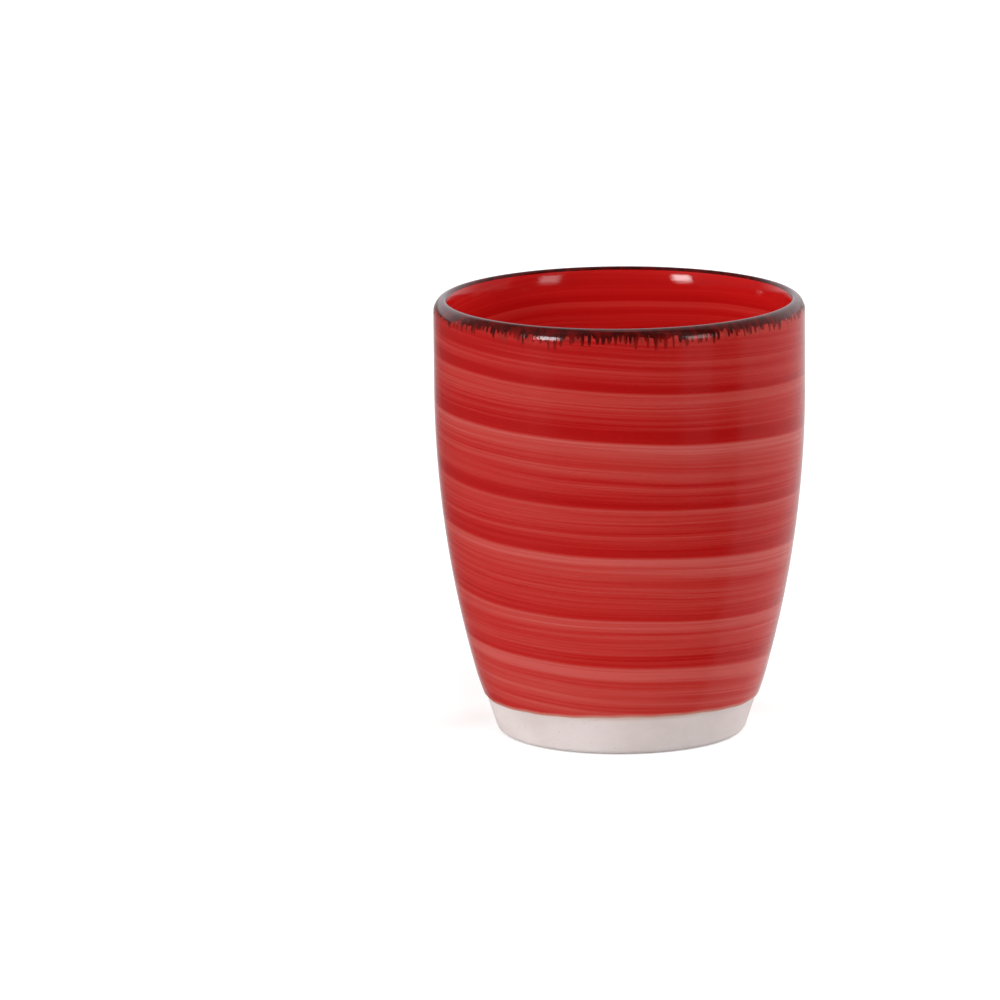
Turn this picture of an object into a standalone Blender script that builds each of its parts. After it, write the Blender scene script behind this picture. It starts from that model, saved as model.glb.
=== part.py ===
"""Handleless coffee mug in glazed stoneware, turned about +Z.

The fired clay body carries three coats of fired glaze: a red coat outside, a red lining inside and a dark band
that caps the lip. The foot stays bare. Metres, +Z up, origin at the centre of the foot's resting plane.
"""

import math

import bpy

# Overall shape of the glazed mug
RIM_RADIUS = 0.0360
MUG_HEIGHT = 0.0853
SHOULDER_HEIGHT = 0.0680  # above it the wall is straight, below it the wall is one long arc
FOOT_RADIUS = 0.0247  # where the long arc would meet the table

# Wall, floor and lip, measured over the glaze
WALL = 0.0034
FLOOR_HEIGHT = 0.0062
FLOOR_CORNER = 0.0090
LIP_OUTER_ROUND = 0.0020
LIP_INNER_DEPTH = 0.0050

# Foot of the clay body
FOOT_EDGE_ROUND = 0.0016
FOOT_RING_WIDTH = 0.0040
FOOT_RECESS = 0.0016

# Glaze coats
GLAZE = 0.0003
BOND_GAP = 0.0003  # between a coat and the clay under it
SEAM_GAP = 0.0003  # between neighbouring coats
BARE_FOOT_HEIGHT = 0.0081
RIM_BAND_OUTSIDE = 0.0022
RIM_BAND_INSIDE = 0.0006

# Fineness of the turned surfaces
TURN_STEPS = 64
LONG_ARC_STEPS = 6
CORNER_STEPS = 4
LIP_STEPS = 4

CLAY_DEPTH = GLAZE + BOND_GAP

# The long arc of the outer wall is tangent to the straight wall at the shoulder
ARC_SAG = RIM_RADIUS - FOOT_RADIUS
ARC_RADIUS = (ARC_SAG**2 + SHOULDER_HEIGHT**2) / (2 * ARC_SAG)
ARC_CENTRE = RIM_RADIUS - ARC_RADIUS

CREST_RADIUS = RIM_RADIUS - LIP_OUTER_ROUND
RIM_BAND_OUTER_EDGE = MUG_HEIGHT - RIM_BAND_OUTSIDE
RIM_BAND_INNER_EDGE = MUG_HEIGHT - RIM_BAND_INSIDE


def steps(first, last, count):
    """Evenly spaced values from first to last, both included."""
    return [first + (last - first) * i / count for i in range(count + 1)]


def arc_radius_at(height, arc_radius):
    """Distance from the axis of a wall arc at a height below the shoulder."""
    return ARC_CENTRE + math.sqrt(arc_radius**2 - (SHOULDER_HEIGHT - height) ** 2)


def corner(arc_radius, floor, radius):
    """Round corner between a wall arc and a floor: its centre, and its angle where it leaves the wall."""
    centre_height = floor + radius
    reach = arc_radius - radius
    drop = SHOULDER_HEIGHT - centre_height
    centre = ARC_CENTRE + math.sqrt(reach**2 - drop**2)
    return (centre, centre_height), -math.asin(drop / reach)


def corner_points(centre, radius, first_angle, last_angle):
    return [
        (centre[0] + radius * math.cos(angle), centre[1] + radius * math.sin(angle))
        for angle in steps(first_angle, last_angle, CORNER_STEPS)
    ]


def outer_lip(depth, bottom):
    """Outer round of the lip from the crest down to a height, at a depth under the glaze."""
    radius = LIP_OUTER_ROUND - depth
    base = MUG_HEIGHT - LIP_OUTER_ROUND
    last = math.asin(max(0.0, min(1.0, (bottom - base) / radius)))
    return [
        (CREST_RADIUS + radius * math.cos(angle), base + radius * math.sin(angle))
        for angle in steps(math.pi / 2, last, LIP_STEPS)
    ]


def inner_lip(depth, bottom):
    """Inner slope of the lip, a quarter ellipse, from a height up to the crest."""
    width = WALL - LIP_OUTER_ROUND - depth
    rise = LIP_INNER_DEPTH - depth
    base = MUG_HEIGHT - LIP_INNER_DEPTH
    first = math.asin(max(0.0, min(1.0, (bottom - base) / rise)))
    return [
        (CREST_RADIUS - width * math.cos(angle), base + rise * math.sin(angle))
        for angle in steps(first, math.pi / 2, LIP_STEPS)
    ]


def outer_wall(depth, top, bottom):
    """Outer wall from a height above the shoulder down to a height on the long arc."""
    arc_radius = ARC_RADIUS - depth
    return [(RIM_RADIUS - depth, top)] + [
        (arc_radius_at(height, arc_radius), height)
        for height in steps(SHOULDER_HEIGHT, bottom, LONG_ARC_STEPS)
    ]


def cavity(depth, top):
    """Inside of the mug from the centre of its floor, round the corner and up the wall to a height."""
    arc_radius = ARC_RADIUS - WALL + depth
    floor = FLOOR_HEIGHT - depth
    radius = FLOOR_CORNER + depth
    centre, leaves_wall = corner(arc_radius, floor, radius)
    corner_round = corner_points(centre, radius, -math.pi / 2, leaves_wall)
    wall = [
        (arc_radius_at(height, arc_radius), height)
        for height in steps(corner_round[-1][1], SHOULDER_HEIGHT, LONG_ARC_STEPS)
    ]
    return [(0.0, floor)] + corner_round + wall[1:] + [(RIM_RADIUS - WALL + depth, top)]


def foot():
    """Foot of the clay body: rounded edge, flat ring to stand on and the shallow recess inside it."""
    arc_radius = ARC_RADIUS - CLAY_DEPTH
    centre, leaves_wall = corner(arc_radius, 0.0, FOOT_EDGE_ROUND)
    edge = corner_points(centre, FOOT_EDGE_ROUND, leaves_wall, -math.pi / 2)
    ring_inside = centre[0] - FOOT_RING_WIDTH
    recess = [
        (ring_inside, 0.0),
        (ring_inside - FOOT_RECESS / 2, FOOT_RECESS * 3 / 4),
        (ring_inside - FOOT_RECESS, FOOT_RECESS),
        (0.0, FOOT_RECESS),
    ]
    return edge + recess


def clay_profile():
    """Section of the clay body from the cavity's floor over the lip and down to the recess in the foot."""
    lip_base = MUG_HEIGHT - LIP_INNER_DEPTH
    inside = cavity(CLAY_DEPTH, lip_base)
    lip = inner_lip(CLAY_DEPTH, lip_base)[1:] + outer_lip(CLAY_DEPTH, 0.0)[1:]
    under = foot()
    wall = outer_wall(CLAY_DEPTH, MUG_HEIGHT - LIP_OUTER_ROUND, under[0][1])
    return inside + lip + wall[1:-1] + under


def outer_glaze_profile():
    """Closed section of the red coat, from under the dark band to the edge of the bare foot."""
    top = RIM_BAND_OUTER_EDGE - SEAM_GAP
    face = outer_wall(0.0, top, BARE_FOOT_HEIGHT)
    back = outer_wall(GLAZE, top, BARE_FOOT_HEIGHT)
    return face + back[::-1]


def inner_glaze_profile():
    """Section of the red lining: its face goes up from the floor's centre and its back comes down again."""
    top = RIM_BAND_INNER_EDGE - SEAM_GAP
    lip_base = MUG_HEIGHT - LIP_INNER_DEPTH

    def side(depth):
        slope = inner_lip(depth, lip_base)
        below = [point for point in slope if point[1] < top - SEAM_GAP]
        end = [inner_lip(depth, top)[0]]
        return cavity(depth, lip_base) + below[1:] + end

    return side(0.0) + side(GLAZE)[::-1]


def rim_glaze_profile():
    """Closed section of the dark band, a cap over the lip."""

    def side(depth):
        inside = inner_lip(depth, RIM_BAND_INNER_EDGE)
        outside = outer_lip(depth, 0.0)[1:] + [(RIM_RADIUS - depth, RIM_BAND_OUTER_EDGE)]
        return inside + outside

    return side(0.0) + side(GLAZE)[::-1]


def finish(name, colour, roughness):
    """Material with one Principled BSDF."""
    material = bpy.data.materials.new(name)
    material.use_nodes = True
    shader = material.node_tree.nodes["Principled BSDF"]
    shader.inputs["Base Color"].default_value = (*colour, 1.0)
    shader.inputs["Roughness"].default_value = roughness
    shader.inputs["Metallic"].default_value = 0.0
    material.diffuse_color = (*colour, 1.0)
    return material


def turned(name, profile, closed, material, parent):
    """One piece turned about +Z from its section, with a Screw modifier."""
    count = len(profile)
    edges = [(i, i + 1) for i in range(count - 1)]
    if closed:
        edges.append((count - 1, 0))
    mesh = bpy.data.meshes.new(name)
    mesh.from_pydata([(radius, 0.0, height) for radius, height in profile], edges, [])
    mesh.materials.append(material)
    piece = bpy.data.objects.new(name, mesh)
    piece.parent = parent
    parent.users_collection[0].objects.link(piece)
    screw = piece.modifiers.new("turn", "SCREW")
    screw.axis = "Z"
    screw.angle = 2 * math.pi
    screw.steps = TURN_STEPS
    screw.render_steps = TURN_STEPS
    screw.use_merge_vertices = True
    screw.merge_threshold = 0.00001
    screw.use_smooth_shade = True
    return piece


def start_scene():
    """Empties the scene and gives the mug a collection and an empty at the centre of its foot."""
    for old in list(bpy.data.objects):
        bpy.data.objects.remove(old, do_unlink=True)
    collection = bpy.data.collections.new("coffee_mug")
    bpy.context.scene.collection.children.link(collection)
    origin = bpy.data.objects.new("mug_origin", None)
    origin.empty_display_size = FOOT_RADIUS
    collection.objects.link(origin)
    return origin


def main():
    origin = start_scene()
    clay = finish("bare_stoneware", (0.72, 0.66, 0.63), 0.75)
    red = finish("red_glaze", (0.42, 0.012, 0.010), 0.12)
    lining = finish("red_lining_glaze", (0.46, 0.010, 0.009), 0.10)
    dark = finish("dark_rim_glaze", (0.060, 0.016, 0.012), 0.15)
    turned("stoneware_body", clay_profile(), False, clay, origin)
    turned("outer_glaze", outer_glaze_profile(), True, red, origin)
    turned("inner_glaze", inner_glaze_profile(), False, lining, origin)
    turned("rim_glaze", rim_glaze_profile(), True, dark, origin)


main()
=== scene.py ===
import math
import random

import bpy
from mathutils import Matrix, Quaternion, Vector


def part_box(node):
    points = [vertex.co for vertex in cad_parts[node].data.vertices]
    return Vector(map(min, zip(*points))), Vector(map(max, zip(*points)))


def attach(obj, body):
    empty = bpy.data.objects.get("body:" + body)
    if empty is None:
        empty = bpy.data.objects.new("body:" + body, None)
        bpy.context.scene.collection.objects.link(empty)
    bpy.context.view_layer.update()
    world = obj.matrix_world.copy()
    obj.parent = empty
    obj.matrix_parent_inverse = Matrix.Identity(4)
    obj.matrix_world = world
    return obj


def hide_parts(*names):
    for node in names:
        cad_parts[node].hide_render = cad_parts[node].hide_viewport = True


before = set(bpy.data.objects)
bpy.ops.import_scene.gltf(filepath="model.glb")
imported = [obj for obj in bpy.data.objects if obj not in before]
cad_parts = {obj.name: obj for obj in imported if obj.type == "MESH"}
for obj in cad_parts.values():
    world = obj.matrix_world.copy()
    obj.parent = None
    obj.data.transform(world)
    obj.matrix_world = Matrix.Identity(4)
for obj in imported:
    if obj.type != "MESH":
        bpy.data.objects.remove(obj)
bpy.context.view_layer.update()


# Stoneware body: one piece of pale clay, thrown on a wheel, with a foot ring turned on its underside.
# It is fired before glazing and stays bare only at the foot, where the turning tool left faint lines.
MUG_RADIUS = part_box("rim_glaze")[1].x
MUG_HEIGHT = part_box("rim_glaze")[1].z
BARE_FOOT_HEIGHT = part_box("outer_glaze")[0].z
SHOULDER_HEIGHT = 0.0680  # above it the wall is straight, below it the wall is one long arc
FOOT_RADIUS = 0.0247  # where the long arc would meet the table
WALL = 0.0034
FLOOR_HEIGHT = 0.0062
FLOOR_CORNER = 0.0090
LIP_OUTER_ROUND = 0.0020
LIP_OUTER_DEPTH = 0.0028
LIP_INNER_DEPTH = 0.0050
COAT = 0.0006  # depth of the clay under the face of the glaze
FOOT_EDGE_ROUND = 0.0016
FOOT_RING_WIDTH = 0.0040
FOOT_RECESS = 0.0016
RECESS_ROUND = 0.0012

# Fineness of the turned surfaces, round the wheel and along each stretch of a section
WHEEL_STEPS = 192
FLOOR_STEPS = 12
FLOOR_CORNER_STEPS = 16
CAVITY_WALL_STEPS = 40
INNER_LIP_STEPS = 20
OUTER_LIP_STEPS = 16
CLAY_WALL_STEPS = 48
FOOT_EDGE_STEPS = 10
RECESS_ROUND_STEPS = 8
RECESS_FLOOR_STEPS = 10
WELD_DISTANCE = 0.000002

# The long arc of the wall is tangent to the straight wall at the shoulder
WALL_SAG = MUG_RADIUS - FOOT_RADIUS
WALL_ARC = (WALL_SAG**2 + SHOULDER_HEIGHT**2) / (2 * WALL_SAG)
WALL_ARC_CENTRE = MUG_RADIUS - WALL_ARC
CREST_RADIUS = MUG_RADIUS - LIP_OUTER_ROUND
LIP_BASE = MUG_HEIGHT - LIP_OUTER_DEPTH


def between(first, last, count):
    """Evenly spaced numbers from first to last, both included."""
    return [first + (last - first) * i / count for i in range(count + 1)]


def arc(centre, radius, first, last, count):
    """Points on a round stretch of a section, from one angle to another."""
    return [
        (centre[0] + radius * math.cos(angle), centre[1] + radius * math.sin(angle))
        for angle in between(first, last, count)
    ]


def wall_corner(wall_arc, floor, radius):
    """Centre of the round between the wall's long arc and a floor, and the angle where it leaves the wall."""
    reach = wall_arc - radius
    drop = SHOULDER_HEIGHT - floor - radius
    centre = (WALL_ARC_CENTRE + math.sqrt(reach**2 - drop**2), floor + radius)
    return centre, -math.asin(drop / reach)


def wall_line(wall_arc, top, bottom, count):
    """Straight upper wall and long lower arc, from a height down to another.

    The arc has the given count of steps, and the straight wall has a quarter as many.
    """
    straight = WALL_ARC_CENTRE + wall_arc
    upper = [(straight, height) for height in between(top, SHOULDER_HEIGHT, count // 4)]
    lower = [
        (WALL_ARC_CENTRE + math.sqrt(wall_arc**2 - (SHOULDER_HEIGHT - height) ** 2), height)
        for height in between(SHOULDER_HEIGHT, bottom, count)
    ]
    return upper + lower[1:]


def cavity_line(depth):
    """Inside of the mug, a depth under its glaze, from the middle of the floor up to the foot of the lip."""
    wall_arc = WALL_ARC - WALL + depth
    centre, leaves_wall = wall_corner(wall_arc, FLOOR_HEIGHT - depth, FLOOR_CORNER + depth)
    floor = [(radius, FLOOR_HEIGHT - depth) for radius in between(0.0, centre[0], FLOOR_STEPS)]
    corner = arc(centre, FLOOR_CORNER + depth, -math.pi / 2, leaves_wall, FLOOR_CORNER_STEPS)
    wall = wall_line(wall_arc, MUG_HEIGHT - LIP_INNER_DEPTH, corner[-1][1], CAVITY_WALL_STEPS)
    return floor + corner[1:] + wall[::-1][1:]


def inner_lip(depth, last=math.pi / 2):
    """Inner slope of the lip, a quarter ellipse, from the wall up towards the crest."""
    width = WALL - LIP_OUTER_ROUND - depth
    rise = LIP_INNER_DEPTH - depth
    base = MUG_HEIGHT - LIP_INNER_DEPTH
    return [
        (CREST_RADIUS - width * math.cos(angle), base + rise * math.sin(angle))
        for angle in between(0.0, last, INNER_LIP_STEPS)
    ]


def outer_lip(depth, first=math.pi / 2):
    """Outer round of the lip, a shorter quarter ellipse, from the crest or near it down to the wall."""
    width = LIP_OUTER_ROUND - depth
    rise = LIP_OUTER_DEPTH - depth
    return [
        (CREST_RADIUS + width * math.cos(angle), LIP_BASE + rise * math.sin(angle))
        for angle in between(first, 0.0, OUTER_LIP_STEPS)
    ]


def throw(name, section, steps):
    """Draws a section point by point and turns it once round the mug's axis, as on a wheel."""
    bpy.ops.object.select_all(action="DESELECT")
    bpy.ops.mesh.primitive_plane_add(size=MUG_RADIUS, location=(0, 0, 0))
    piece = bpy.context.object
    piece.name = name
    piece.data.name = name
    bpy.ops.object.mode_set(mode="EDIT")
    bpy.ops.mesh.select_all(action="SELECT")
    bpy.ops.mesh.merge(type="CENTER")
    bpy.ops.transform.translate(value=(section[0][0], 0, section[0][1]))
    for here, there in zip(section, section[1:]):
        stroke = (there[0] - here[0], 0, there[1] - here[1])
        bpy.ops.mesh.extrude_region_move(TRANSFORM_OT_translate={"value": stroke})
    bpy.ops.object.mode_set(mode="OBJECT")
    wheel = piece.modifiers.new("wheel", "SCREW")
    wheel.steps = steps
    wheel.render_steps = steps
    wheel.use_merge_vertices = False
    bpy.ops.object.modifier_apply(modifier="wheel")
    bpy.ops.object.mode_set(mode="EDIT")
    bpy.ops.mesh.select_all(action="SELECT")
    bpy.ops.mesh.remove_doubles(threshold=WELD_DISTANCE)
    bpy.ops.mesh.normals_make_consistent(inside=False)
    bpy.ops.object.mode_set(mode="OBJECT")
    bpy.ops.object.shade_smooth()
    return piece


foot_arc = WALL_ARC - COAT
foot_edge_centre, foot_leaves_wall = wall_corner(foot_arc, 0.0, FOOT_EDGE_ROUND)
foot_edge = arc(foot_edge_centre, FOOT_EDGE_ROUND, foot_leaves_wall, -math.pi / 2, FOOT_EDGE_STEPS)
ring_inside = foot_edge_centre[0] - FOOT_RING_WIDTH
recess_centre = (ring_inside - RECESS_ROUND, 0.0)
recess_round = arc(recess_centre, RECESS_ROUND, 0.0, math.pi / 2, RECESS_ROUND_STEPS)
recess_radii = between(ring_inside - FOOT_RECESS, 0.0, RECESS_FLOOR_STEPS)
recess_floor = [(radius, FOOT_RECESS) for radius in recess_radii]
body_section = (
    cavity_line(COAT)
    + inner_lip(COAT)[1:]
    + outer_lip(COAT)[1:]
    + wall_line(foot_arc, LIP_BASE, foot_edge[0][1], CLAY_WALL_STEPS)[1:]
    + foot_edge[1:]
    + recess_round
    + recess_floor
)
body = throw("stoneware_body_fired", body_section, WHEEL_STEPS)


def calculate(tree, operation, first, second=None, third=None):
    """Adds a Math node whose operands are numbers or the sockets of other nodes."""
    made = tree.nodes.new("ShaderNodeMath")
    made.operation = operation
    for socket, operand in zip(made.inputs, (first, second, third)):
        if isinstance(operand, (int, float)):
            socket.default_value = operand
        elif operand is not None:
            tree.links.new(operand, socket)
    return made.outputs[0]


def fade(tree, value, start, end, low=0.0, high=1.0):
    """Adds a smooth step of a value from low at start to high at end."""
    made = tree.nodes.new("ShaderNodeMapRange")
    made.interpolation_type = "SMOOTHSTEP"
    tree.links.new(value, made.inputs["Value"])
    for name, number in (("From Min", start), ("From Max", end), ("To Min", low), ("To Max", high)):
        made.inputs[name].default_value = number
    return made.outputs["Result"]


def blend_colours(tree, share, under, over):
    """Adds a colour mix: over covers under by share. A colour is a triple or the socket of another node.

    Inputs 6 and 7 and output 2 are the mix's own colour sockets.
    """
    made = tree.nodes.new("ShaderNodeMix")
    made.data_type = "RGBA"
    tree.links.new(share, made.inputs["Factor"])
    for index, colour in ((6, under), (7, over)):
        if isinstance(colour, tuple):
            made.inputs[index].default_value = (*colour, 1.0)
        else:
            tree.links.new(colour, made.inputs[index])
    return made.outputs[2]


def mottle(tree, position, spots, detail):
    """Adds a soft noise from 0 to 1 over a position, with its own count of spots along each axis."""
    mapping = tree.nodes.new("ShaderNodeMapping")
    mapping.inputs["Scale"].default_value = spots
    tree.links.new(position, mapping.inputs["Vector"])
    noise = tree.nodes.new("ShaderNodeTexNoise")
    noise.inputs["Scale"].default_value = 1.0
    noise.inputs["Detail"].default_value = detail
    tree.links.new(mapping.outputs["Vector"], noise.inputs["Vector"])
    return noise.outputs["Fac"]


def along_axes(tree, position):
    """Adds a Separate XYZ node and gives the three sockets X, Y and Z of a position or a direction."""
    made = tree.nodes.new("ShaderNodeSeparateXYZ")
    tree.links.new(position, made.inputs["Vector"])
    return made.outputs


def start_material(name, roughness):
    """New material: its tree, its Principled shader and the object coordinates."""
    material = bpy.data.materials.new(name)
    material.use_nodes = True
    tree = material.node_tree
    shader = tree.nodes["Principled BSDF"]
    shader.inputs["Roughness"].default_value = roughness
    position = tree.nodes.new("ShaderNodeTexCoord").outputs["Object"]
    return material, tree, shader, position


def add_bump(tree, shader, relief, depth):
    """Adds a fine relief to a surface: 0 lies the depth below 1."""
    bump = tree.nodes.new("ShaderNodeBump")
    bump.inputs["Distance"].default_value = depth
    tree.links.new(relief, bump.inputs["Height"])
    tree.links.new(bump.outputs["Normal"], shader.inputs["Normal"])


CLAY = (0.74, 0.665, 0.65)
CLAY_SHADED = (0.665, 0.59, 0.57)
CLAY_SPECK = (0.42, 0.33, 0.28)
CLAY_CLOUDS = (90, 90, 140)  # spots a metre
CLAY_GRAINS = (2600, 2600, 2600)
TURNING_LINES = (40, 40, 2400)
CLOUD_EDGE = (0.35, 0.75)
SPECK_EDGE = (0.70, 0.78)
SPECK_COVER = 0.55
GRAIN_SHARE = 0.6
FLASHING = (0.63, 0.43, 0.365)  # where the fire coloured the clay beside the glaze
FLASHING_HEIGHT = 0.0011

clay, tree, shader, position = start_material("bare_fired_clay", roughness=0.72)
height = along_axes(tree, position)["Z"]
cloud = mottle(tree, position, CLAY_CLOUDS, detail=4.0)
colour = blend_colours(tree, fade(tree, cloud, *CLOUD_EDGE), CLAY, CLAY_SHADED)
grain = mottle(tree, position, CLAY_GRAINS, detail=1.0)
specks = fade(tree, grain, *SPECK_EDGE, high=SPECK_COVER)
colour = blend_colours(tree, specks, colour, CLAY_SPECK)
flash_edge = fade(tree, height, BARE_FOOT_HEIGHT - FLASHING_HEIGHT, BARE_FOOT_HEIGHT)
colour = blend_colours(tree, flash_edge, colour, FLASHING)
tree.links.new(colour, shader.inputs["Base Color"])
turning = mottle(tree, position, TURNING_LINES, detail=2.0)
texture = calculate(tree, "ADD", turning, calculate(tree, "MULTIPLY", grain, GRAIN_SHARE))
add_bump(tree, shader, texture, depth=0.00006)
body.data.materials.append(clay)
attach(body, "root")
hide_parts("stoneware_body")


# Lining: red glaze swilled round the inside before the outside was painted, so it runs in soft rings.
# It covers the floor and the wall and goes up under the dark band on the lip.
BOND = 0.00002  # between the back of a coat and the clay
COAT_BACK = COAT - BOND
LINING_TOP_ANGLE = math.radians(84)
LINING_DEEP = (0.59, 0.0070, 0.0076)
LINING_RED = (0.645, 0.0125, 0.0115)
LINING_THIN = (0.70, 0.036, 0.029)
# Painted shade: the top of the lining, just under the crest of the lip, is painted a darker red
LINING_PAINTED_SHADE = (0.47, 0.0070, 0.0070)
LINING_SHADE_STARTS = 0.0050  # below the crest of the lip
LINING_SHADE_FULL = 0.0010
LINING_SHADE_COVER = 0.60
LINING_START = 0.0790
LINING_PITCH = 0.0072
LINING_SWING = 0.10
LINING_WANDER = 0.5

# How thin the glaze lies across a stroke, from its upper edge at 0 to its lower edge at 1
STROKE_PROFILE = (
    (0.0, 0.16), (0.055, 0.90), (0.10, 0.82), (0.22, 0.74), (0.33, 0.54),
    (0.44, 0.46), (0.60, 0.49), (0.76, 0.45), (0.86, 0.19), (1.0, 0.14))
STROKE_AHEAD = 1.0  # turns by which the brush marks are moved along the stroke
EDGE_STEEPNESS = 9.0  # how soon the brush marks are at full strength inside the edges of a stroke

# Spots of the brush's marks, in a turn along the stroke and in its width
LOAD_SPOTS = (1.7, 2.6, 1.0)
FULLNESS_SPOTS = (0.85, 0.15, 1.0)
STRANDS = (1.6, 9.0, 1.0)
BRISTLES = (4.0, 27.0, 1.0)
HAIRS = (7.0, 80.0, 1.0)
STRAND_STRENGTH = 1.20
BRISTLE_STRENGTH = 0.70
HAIR_STRENGTH = 0.36
FULLNESS_EDGE = (0.35, 0.65)
FULLNESS = (0.84, 1.12)
HAND_SPOTS = (28, 28, 28)  # a metre, because the hand strays over the mug and not along the stroke


def about_zero(tree, noise):
    """Takes the middle from a noise, so that it swings about zero."""
    return calculate(tree, "SUBTRACT", noise, 0.5)


def add_ramp(tree, value, stops):
    """Adds a colour ramp over a value. A stop is a place from 0 to 1 and a colour or a grey tone."""
    made = tree.nodes.new("ShaderNodeValToRGB")
    tree.links.new(value, made.inputs["Fac"])
    ramp = made.color_ramp.elements
    while len(ramp) < len(stops):
        ramp.new(0.5)
    for stop, (place, colour) in zip(ramp, stops):
        stop.position = place
        stop.color = (*colour, 1.0) if isinstance(colour, tuple) else (colour, colour, colour, 1.0)
    return made.outputs["Color"]


def brushed_spiral():
    """Node group of a coat brushed on a turning mug: one long stroke that winds down the wall.

    Each turn of the stroke starts thin at its upper edge and ends thick where the next turn runs into it.
    Thin is 1 where the coat is thin and pale. Ridges are the lines that the bristles left.
    """
    group = bpy.data.node_groups.new("brushed_spiral", "ShaderNodeTree")
    sockets = group.interface
    sockets.new_socket("Position", in_out="INPUT", socket_type="NodeSocketVector")
    for name in ("Start", "Pitch", "Swing", "Wander", "Inward"):
        sockets.new_socket(name, in_out="INPUT", socket_type="NodeSocketFloat")
    for name in ("Thin", "Ridges"):
        sockets.new_socket(name, in_out="OUTPUT", socket_type="NodeSocketFloat")
    given = group.nodes.new("NodeGroupInput").outputs
    result = group.nodes.new("NodeGroupOutput").inputs

    place = along_axes(group, given["Position"])
    to_front = calculate(group, "MULTIPLY", place["Y"], -1.0)
    angle = calculate(group, "ARCTAN2", place["X"], to_front)
    share_of_turn = calculate(group, "DIVIDE", angle, math.tau)

    # Turns counted down from the start of the stroke, with an uneven feed and an unsteady hand
    flat = group.nodes.new("ShaderNodeCombineXYZ")
    group.links.new(place["X"], flat.inputs["X"])
    group.links.new(place["Y"], flat.inputs["Y"])
    from_axis = group.nodes.new("ShaderNodeVectorMath")
    from_axis.operation = "LENGTH"
    group.links.new(flat.outputs["Vector"], from_axis.inputs[0])
    inward = calculate(group, "SUBTRACT", MUG_RADIUS, from_axis.outputs["Value"])
    fall = calculate(group, "SUBTRACT", given["Start"], place["Z"])
    fall = calculate(group, "MULTIPLY_ADD", inward, given["Inward"], fall)
    turns = calculate(group, "DIVIDE", fall, given["Pitch"])
    feed = calculate(group, "COSINE", calculate(group, "MULTIPLY", turns, math.pi))
    feed = calculate(group, "MULTIPLY", feed, given["Swing"])
    hand = about_zero(group, mottle(group, given["Position"], HAND_SPOTS, detail=1.0))
    hand = calculate(group, "MULTIPLY", hand, given["Wander"])
    turns = calculate(group, "SUBTRACT", turns, feed)
    turns = calculate(group, "ADD", turns, hand)
    turns = calculate(group, "SUBTRACT", turns, share_of_turn)

    # Place on the stroke: how far along it, in turns, and how far across it, from 0 to 1
    across = calculate(group, "FRACT", turns)
    along = calculate(group, "ADD", calculate(group, "FLOOR", turns), share_of_turn)
    along = calculate(group, "ADD", along, STROKE_AHEAD)
    stroke = group.nodes.new("ShaderNodeCombineXYZ")
    group.links.new(along, stroke.inputs["X"])
    group.links.new(across, stroke.inputs["Y"])
    on_stroke = stroke.outputs["Vector"]

    # The stroke's profile shifts with the load of the brush, but its edges stay where they are
    inside = calculate(group, "MULTIPLY", calculate(group, "SUBTRACT", 1.0, across), across)
    load = about_zero(group, mottle(group, on_stroke, LOAD_SPOTS, detail=1.0))
    shift = calculate(group, "MULTIPLY", load, inside)
    profile = add_ramp(group, calculate(group, "ADD", across, shift), STROKE_PROFILE)
    fullness = mottle(group, on_stroke, FULLNESS_SPOTS, detail=0.0)
    fullness = fade(group, fullness, *FULLNESS_EDGE, *FULLNESS)
    thin = calculate(group, "MULTIPLY", profile, fullness)

    # Lines of the brush, which fade out at the edges of the stroke
    clear_of_edges = calculate(group, "MULTIPLY", inside, EDGE_STEEPNESS)
    clear_of_edges = calculate(group, "MINIMUM", clear_of_edges, 1.0)
    strands = mottle(group, on_stroke, STRANDS, detail=2.0)
    bristles = mottle(group, on_stroke, BRISTLES, detail=3.0)
    hairs = mottle(group, on_stroke, HAIRS, detail=2.0)
    marks = ((strands, STRAND_STRENGTH), (bristles, BRISTLE_STRENGTH), (hairs, HAIR_STRENGTH))
    for mark, strength in marks:
        strength = calculate(group, "MULTIPLY", clear_of_edges, strength)
        thin = calculate(group, "MULTIPLY_ADD", about_zero(group, mark), strength, thin)
    group.links.new(thin, result["Thin"])
    group.links.new(calculate(group, "ADD", bristles, hairs), result["Ridges"])
    return group


def brush_coat(tree, position, start, pitch, swing, wander, inward):
    """Places the brushed spiral in a material with its own feed, down a wall or also inward over a floor."""
    made = tree.nodes.new("ShaderNodeGroup")
    made.node_tree = stroke_group
    tree.links.new(position, made.inputs["Position"])
    feed = {"Start": start, "Pitch": pitch, "Swing": swing, "Wander": wander, "Inward": inward}
    for name, number in feed.items():
        made.inputs[name].default_value = number
    return made.outputs["Thin"], made.outputs["Ridges"]


stroke_group = brushed_spiral()
lining_face = cavity_line(0.0) + inner_lip(0.0, LINING_TOP_ANGLE)[1:]
lining_back = cavity_line(COAT_BACK) + inner_lip(COAT_BACK, LINING_TOP_ANGLE)[1:]
lining = throw("inner_glaze_lining", lining_face + lining_back[::-1], WHEEL_STEPS)

lining_glaze, tree, shader, position = start_material("red_lining_glaze", roughness=0.025)
thin, ridges = brush_coat(
    tree, position, LINING_START, LINING_PITCH, LINING_SWING, LINING_WANDER, inward=1.0)
colour = add_ramp(tree, thin, ((0.1, LINING_DEEP), (0.5, LINING_RED), (1.0, LINING_THIN)))
height = along_axes(tree, position)["Z"]
# Painted shade: the lining's red is painted darker towards the crest of the lip
painted_shade = fade(
    tree, height, MUG_HEIGHT - LINING_SHADE_STARTS, MUG_HEIGHT - LINING_SHADE_FULL, high=LINING_SHADE_COVER)
colour = blend_colours(tree, painted_shade, colour, LINING_PAINTED_SHADE)
tree.links.new(colour, shader.inputs["Base Color"])
add_bump(tree, shader, ridges, depth=0.000006)
lining.data.materials.append(lining_glaze)
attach(lining, "root")
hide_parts("inner_glaze")


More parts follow.
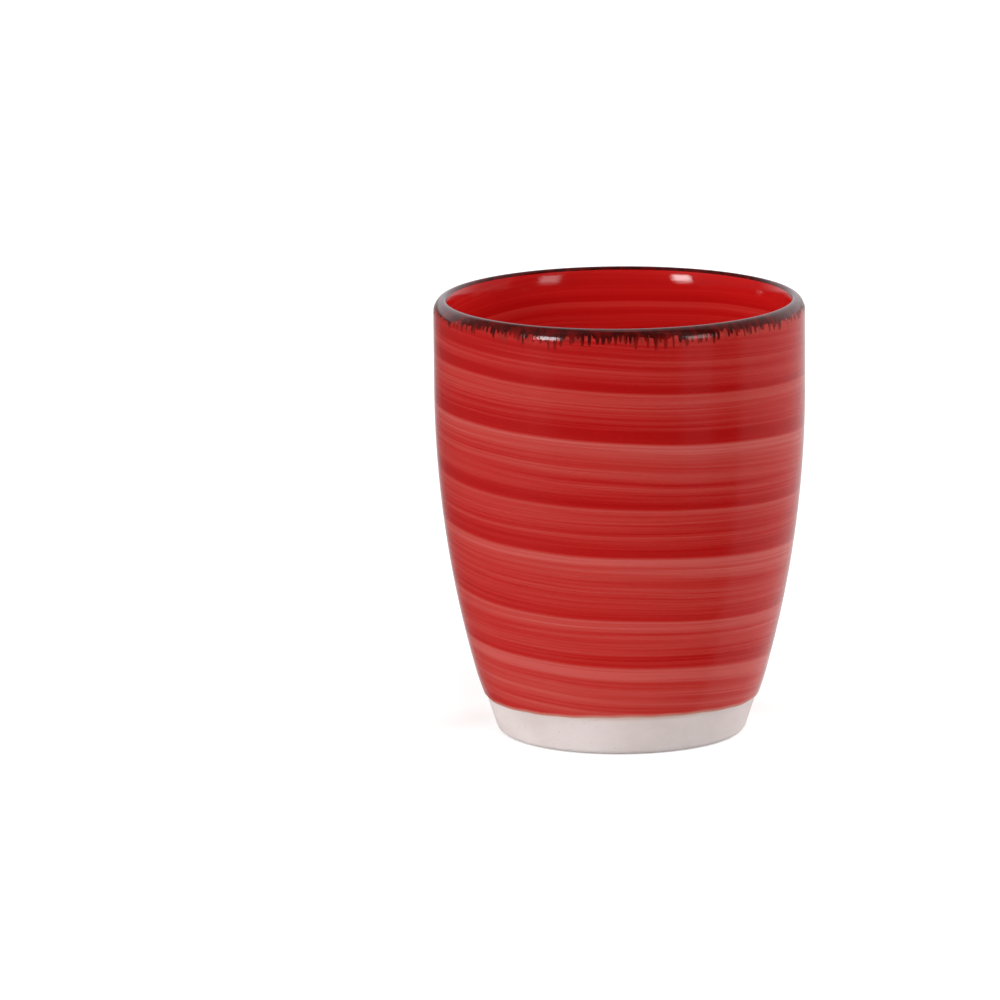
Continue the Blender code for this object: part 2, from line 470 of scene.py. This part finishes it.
# Outer coat: red glaze brushed on in one winding stroke while the mug turned, in pale and deep bands.
# It starts under the dark band on the lip and ends in a rounded bead above the bare foot.
COAT_TOP_ANGLE = math.radians(80)
COAT_WALL_STEPS = 72
BEAD_ROUND = 0.00025
BEAD_STEPS = 6
THINNING_HEIGHT = 0.0050
THINNING = 0.0003
EDGE_DROP = 0.00038
EDGE_WAVE = 0.00035
EDGE_WAVE_COUNT = 3
EDGE_WAVE_START = 0.35
EDGE_RIPPLE = 0.00005
EDGE_RIPPLES = ((9, 2.0, 1.0), (23, 0.0, 1.0))  # count round the mug, start and strength of each


def thinned(radius, height):
    """Point of the coat's face, which thins out towards its lower edge."""
    share = max(0.0, 1.0 - (height - BARE_FOOT_HEIGHT) / THINNING_HEIGHT)
    return (radius - THINNING * share**2, height)


def ripples(angle, waves):
    """Height of some waves round the mug at an angle, from the count, the start and the strength of each."""
    return sum(strength * math.sin(count * angle + start) for count, start, strength in waves)


bead_top = BARE_FOOT_HEIGHT + BEAD_ROUND
coat_wall = wall_line(WALL_ARC, LIP_BASE, bead_top, COAT_WALL_STEPS)
coat_face = outer_lip(0.0, COAT_TOP_ANGLE) + [thinned(*point) for point in coat_wall[1:]]
bead = arc((coat_face[-1][0] - BEAD_ROUND, bead_top), BEAD_ROUND, 0.0, -math.pi / 2, BEAD_STEPS)
coat_back_wall = wall_line(WALL_ARC - COAT_BACK, LIP_BASE, BARE_FOOT_HEIGHT, COAT_WALL_STEPS)
coat_back = outer_lip(COAT_BACK, COAT_TOP_ANGLE) + coat_back_wall[1:]
coat_section = coat_face + bead[1:] + coat_back[::-1]
coat = throw("outer_glaze_brushed", coat_section + coat_section[:1], WHEEL_STEPS)

# The lower edge sags unevenly, and each point keeps its height above the edge for the material
edge_distance = coat.data.attributes.new("above_edge", "FLOAT", "POINT")
for index, point in enumerate(coat.data.vertices):
    above_edge = point.co.z - BARE_FOOT_HEIGHT
    edge_distance.data[index].value = above_edge
    angle = math.atan2(point.co.x, -point.co.y)
    sag = EDGE_WAVE * math.cos(EDGE_WAVE_COUNT * angle - EDGE_WAVE_START) - EDGE_DROP
    sag += EDGE_RIPPLE * ripples(angle, EDGE_RIPPLES)
    point.co.z += sag * max(0.0, 1.0 - above_edge / THINNING_HEIGHT)

RED_DEEP = (0.360, 0.0048, 0.0045)
RED_FULL = (0.395, 0.0110, 0.0095)
RED_MIDDLE = (0.435, 0.0265, 0.0220)
RED_PALE = (0.465, 0.055, 0.046)
RED_THINNEST = (0.505, 0.088, 0.076)
STAIN = (0.16, 0.022, 0.016)
BEAD_TAN = (0.56, 0.24, 0.19)
BEAD_TAN_HEIGHT = 0.0008
SPIRAL_START = 0.0743
SPIRAL_PITCH = 0.01127
SPIRAL_SWING = 0.075
SPIRAL_WANDER = 0.12

# Painted shade and light: under the lip the coat is painted a little darker, and down the wall it is painted
# paler and its red lighter, standing in for light from below
COAT_SHADE_STARTS = 0.0070  # below the crest of the lip
COAT_SHADE_FULL = 0.0035
COAT_PAINTED_SHADE = 0.20
# Painted light: heights and amounts by which the lower wall is painted paler and redder, standing in for
# light from below
WALL_LOW_AND_HIGH = (0.018, 0.058)
PAINTED_LIGHT_LOW_AND_HIGH = (0.16, -0.06)
PAINTED_RED_FROM = 0.070
PAINTED_RED_TO = 0.010
PAINTED_LIGHT_RED = 1.13

# The dark band stains the coat in fine runs
RUN_SPOTS = (900, 900, 120)
RUN_REACH = 0.0075
STAIN_STARTS = 0.0030  # below the crest of the lip
STAIN_FULL = 0.0004
STAIN_COVER = 0.80

coat_glaze, tree, shader, position = start_material("red_brushed_glaze", roughness=0.09)
thin, ridges = brush_coat(
    tree, position, SPIRAL_START, SPIRAL_PITCH, SPIRAL_SWING, SPIRAL_WANDER, inward=0.0)
height = along_axes(tree, position)["Z"]
# Painted shade: the coat is painted darker just under the lip
painted_shade = fade(tree, height, MUG_HEIGHT - COAT_SHADE_STARTS, MUG_HEIGHT - COAT_SHADE_FULL, high=COAT_PAINTED_SHADE)
thin = calculate(tree, "SUBTRACT", thin, painted_shade)
# Painted light: the lower wall is painted paler and the upper wall darker
painted_light_below = fade(tree, height, *WALL_LOW_AND_HIGH, *PAINTED_LIGHT_LOW_AND_HIGH)
thin = calculate(tree, "ADD", thin, painted_light_below)
colour = add_ramp(tree, thin, (
    (0.05, RED_DEEP), (0.25, RED_FULL), (0.48, RED_MIDDLE), (0.80, RED_PALE), (1.0, RED_THINNEST)))
# Painted light: the red is painted stronger low on the wall
painted_red_gain = tree.nodes.new("ShaderNodeCombineXYZ")
painted_red_gain.inputs["Y"].default_value = 1.0
painted_red_gain.inputs["Z"].default_value = 1.0
tree.links.new(fade(tree, height, PAINTED_RED_FROM, PAINTED_RED_TO, 1.0, PAINTED_LIGHT_RED), painted_red_gain.inputs["X"])
lit_from_below = tree.nodes.new("ShaderNodeVectorMath")
lit_from_below.operation = "MULTIPLY"
tree.links.new(colour, lit_from_below.inputs[0])
tree.links.new(painted_red_gain.outputs["Vector"], lit_from_below.inputs[1])
runs = about_zero(tree, mottle(tree, position, RUN_SPOTS, detail=2.0))
run_height = calculate(tree, "MULTIPLY_ADD", runs, RUN_REACH, height)
stain = fade(tree, run_height, MUG_HEIGHT - STAIN_STARTS, MUG_HEIGHT - STAIN_FULL, high=STAIN_COVER)
colour = blend_colours(tree, stain, lit_from_below.outputs["Vector"], STAIN)
from_edge = tree.nodes.new("ShaderNodeAttribute")
from_edge.attribute_name = "above_edge"
bead_edge = fade(tree, from_edge.outputs["Fac"], BEAD_TAN_HEIGHT, 0.0)
colour = blend_colours(tree, bead_edge, colour, BEAD_TAN)
tree.links.new(colour, shader.inputs["Base Color"])
add_bump(tree, shader, ridges, depth=0.00002)
coat.data.materials.append(coat_glaze)
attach(coat, "root")
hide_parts("outer_glaze")


# Dark band: iron glaze dabbed over the lip last of all. It caps the lip and ran down outside in short drips
# that lie on the red coat, dark where it is thick and rusty red at their tips.
CAP_STEPS = 2600
CAP_SIDE_STEPS = 12
CAP_PROUD = 0.00003
CAP_CLEAR = 0.000005  # between the back of the band and the coats under it
CAP_INSIDE = 0.0006
CAP_EDGE = 0.0025
CAP_EDGE_WAVE = 0.00022
CAP_EDGE_RIPPLES = ((9, 0.6, 1.0), (23, 2.0, 0.8), (41, 0.0, 0.6))
CAP_CREASE = math.radians(50)
CREST_MARGIN = 0.00001
DRIP_COUNT = 236
DRIP_SEED = 18
DRIP_SCATTER = 0.40
DRIP_NARROWEST = 0.00022  # half widths
DRIP_WIDEST = 0.00046
DRIP_LONGEST = 0.0023
DRIP_SHORTEST_SHARE = 0.12
DRIP_SHORTNESS = 1.1  # above 1, short drips are more common than long ones
DRIP_SHORTER_AT_SIDES = 0.52
DRIP_BLUNTNESS = 2.5  # at 2 a tip is half an ellipse, and above 2 it is blunter
LIP_ARC_LENGTH = math.hypot(LIP_OUTER_ROUND, LIP_OUTER_DEPTH) * math.pi / math.sqrt(8)


def down_the_lip(run, proud):
    """Point at a distance from the crest, measured down the outer round of the lip and on down the wall."""
    if run > LIP_ARC_LENGTH:
        return (MUG_RADIUS + proud, LIP_BASE - (run - LIP_ARC_LENGTH))
    angle = math.pi / 2 * (1 - run / LIP_ARC_LENGTH)
    width = LIP_OUTER_ROUND + proud
    rise = LIP_OUTER_DEPTH + proud
    return (CREST_RADIUS + width * math.cos(angle), LIP_BASE + rise * math.sin(angle))


def cap_side(proud):
    """Face or back of the plain band, from its edge inside over the crest and down to its edge outside."""
    inside = [point for point in inner_lip(-proud) if point[1] > MUG_HEIGHT - CAP_INSIDE]
    return inside + [down_the_lip(run, proud) for run in between(0.0, CAP_EDGE, CAP_SIDE_STEPS)[1:]]


cap_section = cap_side(CAP_PROUD) + cap_side(CAP_CLEAR)[::-1]
cap = throw("rim_glaze_drips", cap_section + cap_section[:1], CAP_STEPS)

dabs = random.Random(DRIP_SEED)
drips = []
for number in range(DRIP_COUNT):
    drip_angle = math.tau * (number + dabs.uniform(-DRIP_SCATTER, DRIP_SCATTER)) / DRIP_COUNT
    half_width = dabs.uniform(DRIP_NARROWEST, DRIP_WIDEST) / MUG_RADIUS
    share = DRIP_SHORTEST_SHARE + (1 - DRIP_SHORTEST_SHARE) * dabs.random() ** DRIP_SHORTNESS
    length = DRIP_LONGEST * share * (1 - DRIP_SHORTER_AT_SIDES * math.cos(drip_angle) ** 2)
    drips.append((drip_angle, half_width, length))


def drip_reach(angle):
    """How far down from the crest the dark glaze has run at an angle."""
    reach = CAP_EDGE + CAP_EDGE_WAVE * ripples(angle, CAP_EDGE_RIPPLES)
    longest = reach
    for drip_angle, half_width, length in drips:
        off = abs((angle - drip_angle + math.pi) % math.tau - math.pi) / half_width
        if off < 1.0:
            longest = max(longest, reach + length * math.sqrt(1.0 - off**DRIP_BLUNTNESS))
    return longest


# Outside the crest the plain band is drawn down to its reach, and each point keeps how far it ran
RUST_STARTS = 0.6 * CAP_EDGE
run_share = cap.data.attributes.new("run", "FLOAT", "POINT")
reaches = [drip_reach(math.tau * step / CAP_STEPS) for step in range(CAP_STEPS)]
for index, point in enumerate(cap.data.vertices):
    radius = math.hypot(point.co.x, point.co.y)
    if radius > CREST_RADIUS + CREST_MARGIN:
        turn = math.atan2(point.co.y, point.co.x)
        across = (radius - CREST_RADIUS) / LIP_OUTER_ROUND
        up = (point.co.z - LIP_BASE) / LIP_OUTER_DEPTH
        plain_run = LIP_ARC_LENGTH * (1 - math.atan2(up, across) / (math.pi / 2))
        on_face = math.hypot(across, up) > 1 + CAP_PROUD / 2 / LIP_OUTER_DEPTH
        reach = reaches[round(turn / math.tau * CAP_STEPS) % CAP_STEPS]
        run = plain_run * reach / CAP_EDGE
        radius, height = down_the_lip(run, CAP_PROUD if on_face else CAP_CLEAR)
        point.co = (radius * math.cos(turn), radius * math.sin(turn), height)
        run_share.data[index].value = max(0.0, run - RUST_STARTS) / DRIP_LONGEST
bpy.ops.object.shade_smooth_by_angle(angle=CAP_CREASE)

IRON = (0.042, 0.0030, 0.0024)
IRON_BROWN = (0.105, 0.0036, 0.0028)
IRON_RUST = (0.23, 0.0075, 0.0055)
FLOW_SPOTS = (620, 620, 260)
BROWN_EDGE = (0.38, 0.66)
RUST_EDGE = (0.30, 1.15)
RUST_UNEVENNESS = 1.6

cap_glaze, tree, shader, position = start_material("dark_rim_glaze", roughness=0.12)
reached = tree.nodes.new("ShaderNodeAttribute")
reached.attribute_name = "run"
flow = mottle(tree, position, FLOW_SPOTS, detail=3.0)
colour = blend_colours(tree, fade(tree, flow, *BROWN_EDGE), IRON, IRON_BROWN)
rust = calculate(tree, "MULTIPLY_ADD", about_zero(tree, flow), RUST_UNEVENNESS, reached.outputs["Fac"])
colour = blend_colours(tree, fade(tree, rust, *RUST_EDGE), colour, IRON_RUST)
tree.links.new(colour, shader.inputs["Base Color"])
add_bump(tree, shader, flow, depth=0.00001)
cap.data.materials.append(cap_glaze)
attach(cap, "root")
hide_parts("rim_glaze")


# Table: a plain white sheet under the mug that takes its soft shadow.
# It is left out of mirror reflections, so the glaze reflects only the studio.
TABLE_HALF = 4.0
TABLE_WHITE = (0.86, 0.86, 0.86)
TABLE_GLOW = 0.38
WHITE = (1.0, 1.0, 1.0)

bpy.ops.object.select_all(action="DESELECT")
bpy.ops.mesh.primitive_plane_add(size=2 * TABLE_HALF, location=(0, 0, 0))
table = bpy.context.object
table.name = "white_table"
sheet, tree, shader, position = start_material("white_sheet", roughness=0.9)
shader.inputs["Base Color"].default_value = (*TABLE_WHITE, 1.0)
shader.inputs["Specular IOR Level"].default_value = 0.0
shader.inputs["Emission Color"].default_value = (*WHITE, 1.0)
ray = tree.nodes.new("ShaderNodeLightPath")
glow = calculate(tree, "MULTIPLY", ray.outputs["Is Camera Ray"], TABLE_GLOW)
tree.links.new(glow, shader.inputs["Emission Strength"])
table.data.materials.append(sheet)
table.visible_glossy = False


# Studio: an even soft light from all round, a key softbox at the left of the camera, a weaker one at its
# right, and broad lamps that fill in from both sides, from above and from behind. A pale screen with two
# panes stands round the mug, and only this screen and the two softboxes show in the glaze.
ROOM_LIGHT = (0.19, 0.19, 0.19)
STUDIO_SEAM = -135.0
FULL_TURN = 360.0

# Tones round the studio, by degrees from the camera's side towards the right
SCREEN = (
    (-135, 0.09), (-100, 0.10), (-66, 0.135), (-40, 0.06), (-20, 0.01), (78, 0.01), (83, 0.23), (116, 0.33),
    (132, 0.40), (148, 0.52), (160, 0.60), (176, 0.75), (186, 0.75), (200, 0.28), (214, 0.11), (225, 0.09))
PANES = (
    (-135, 0), (-62, 0), (-58, 1), (-46, 1), (-42, 0), (37, 0), (41, 1), (57, 1), (61, 0), (225, 0))
PANE_LIGHT = (0.19, 0.19, 0.20)
BACK_SKY = (0.90, 0.88, 0.92)

# Edges of the panes and of the bright back, where the direction's part up or to the back passes them
PANE_FOOT = (-0.29, -0.22)
BACK_SIDES = (0.30, 0.80)
BACK_FOOT = (0.02, 0.14)
BACK_TOP = (0.70, 0.45)

studio = bpy.data.worlds.new("studio")
bpy.context.scene.world = studio
studio.use_nodes = True
tree = studio.node_tree
tree.nodes.clear()
heading = along_axes(tree, tree.nodes.new("ShaderNodeTexCoord").outputs["Generated"])
to_camera = calculate(tree, "MULTIPLY", heading["Y"], -1.0)
turn = calculate(tree, "ARCTAN2", heading["X"], to_camera)
around = calculate(tree, "MULTIPLY_ADD", turn, 1 / math.tau, -STUDIO_SEAM / FULL_TURN)
around = calculate(tree, "FRACT", around)


def around_studio(tones):
    """Adds a ramp of grey tones that goes once round the mug from the studio's seam."""
    stops = [((degrees - STUDIO_SEAM) / FULL_TURN, tone) for degrees, tone in tones]
    return add_ramp(tree, around, stops)


panes = calculate(tree, "MULTIPLY", around_studio(PANES), fade(tree, heading["Z"], *PANE_FOOT))
screen = blend_colours(tree, panes, around_studio(SCREEN), PANE_LIGHT)
above_foot = fade(tree, heading["Z"], *BACK_FOOT)
below_top = fade(tree, heading["Z"], *BACK_TOP)
back_wall = calculate(tree, "MULTIPLY", above_foot, below_top)
back_wall = calculate(tree, "MULTIPLY", fade(tree, heading["Y"], *BACK_SIDES), back_wall)
screen = blend_colours(tree, back_wall, screen, BACK_SKY)
ray = tree.nodes.new("ShaderNodeLightPath")
light = blend_colours(tree, ray.outputs["Is Glossy Ray"], ROOM_LIGHT, screen)
light = blend_colours(tree, ray.outputs["Is Camera Ray"], light, WHITE)
background = tree.nodes.new("ShaderNodeBackground")
tree.links.new(light, background.inputs["Color"])
output = tree.nodes.new("ShaderNodeOutputWorld")
tree.links.new(background.outputs["Background"], output.inputs["Surface"])

# Name, turn and rise in degrees, distance, width and height in metres, light, whether it shows in the glaze
LAMPS = (
    ("key_softbox", -45, 18, 1.2, 0.26, 0.34, 0.245, True),
    ("right_softbox", 49.5, 18, 1.2, 0.29, 0.38, 0.070, True),
    ("left_fill", -60, 3, 1.6, 1.2, 0.20, 0.25, False),
    ("right_fill", 110, 3, 1.6, 1.2, 0.20, 0.38, False),
    ("top_fill", 15, 60, 1.6, 0.8, 0.8, 0.46, False),
    ("back_left_fill", -112, 30, 1.6, 0.8, 0.8, 0.40, False),
    ("back_right_fill", 130, 30, 1.6, 0.8, 0.8, 0.40, False),
)
mug_middle = Vector((0, 0, MUG_HEIGHT / 2))


def softbox(name, turn, rise, distance, width, tall, light, in_glaze):
    """Flat lamp that faces the mug, turned from the camera's side towards the right and raised by angles.

    Its light is the share of white that it gives a white surface which faces it.
    """
    turn = math.radians(turn)
    rise = math.radians(rise)
    away = Vector((math.sin(turn) * math.cos(rise), -math.cos(turn) * math.cos(rise), math.sin(rise)))
    bpy.ops.object.light_add(type="AREA", location=away * distance + mug_middle)
    lamp = bpy.context.object
    lamp.name = name
    lamp.data.shape = "RECTANGLE"
    lamp.data.size = width
    lamp.data.size_y = tall
    lamp.data.energy = light * (math.pi * distance) ** 2
    lamp.rotation_mode = "QUATERNION"
    lamp.rotation_quaternion = (-away).to_track_quat("-Z", "Y")
    lamp.visible_camera = False
    lamp.visible_glossy = in_glaze


for lamp_settings in LAMPS:
    softbox(*lamp_settings)


# Camera: a long lens a good way off, a little above the mug and rolled by about half a degree.
# It aims beside the mug, which so stands right of the middle of the picture.
CAMERA_DISTANCE = 1.5
CAMERA_RISE = math.radians(11.88)
CAMERA_ROLL = math.radians(-0.545)
LENS_MM = 277.4
SENSOR_MM = 36.0
AIM_LEFT = 0.02343
AIM_UP = 0.00240

back = Vector((0, -math.cos(CAMERA_RISE), math.sin(CAMERA_RISE)))
roll = Quaternion((0, 0, 1), CAMERA_ROLL)
facing_mug = (-back).to_track_quat("-Z", "Y") @ roll
aim = mug_middle - facing_mug @ Vector((AIM_LEFT, 0, 0)) + facing_mug @ Vector((0, AIM_UP, 0))
eye = mug_middle + back * CAMERA_DISTANCE
bpy.ops.object.camera_add(location=eye)
camera = bpy.context.object
camera.data.lens = LENS_MM
camera.data.sensor_width = SENSOR_MM
camera.rotation_mode = "QUATERNION"
camera.rotation_quaternion = (aim - eye).to_track_quat("-Z", "Y") @ roll
bpy.context.scene.camera = camera
bpy.context.scene.view_settings.view_transform = "Standard"
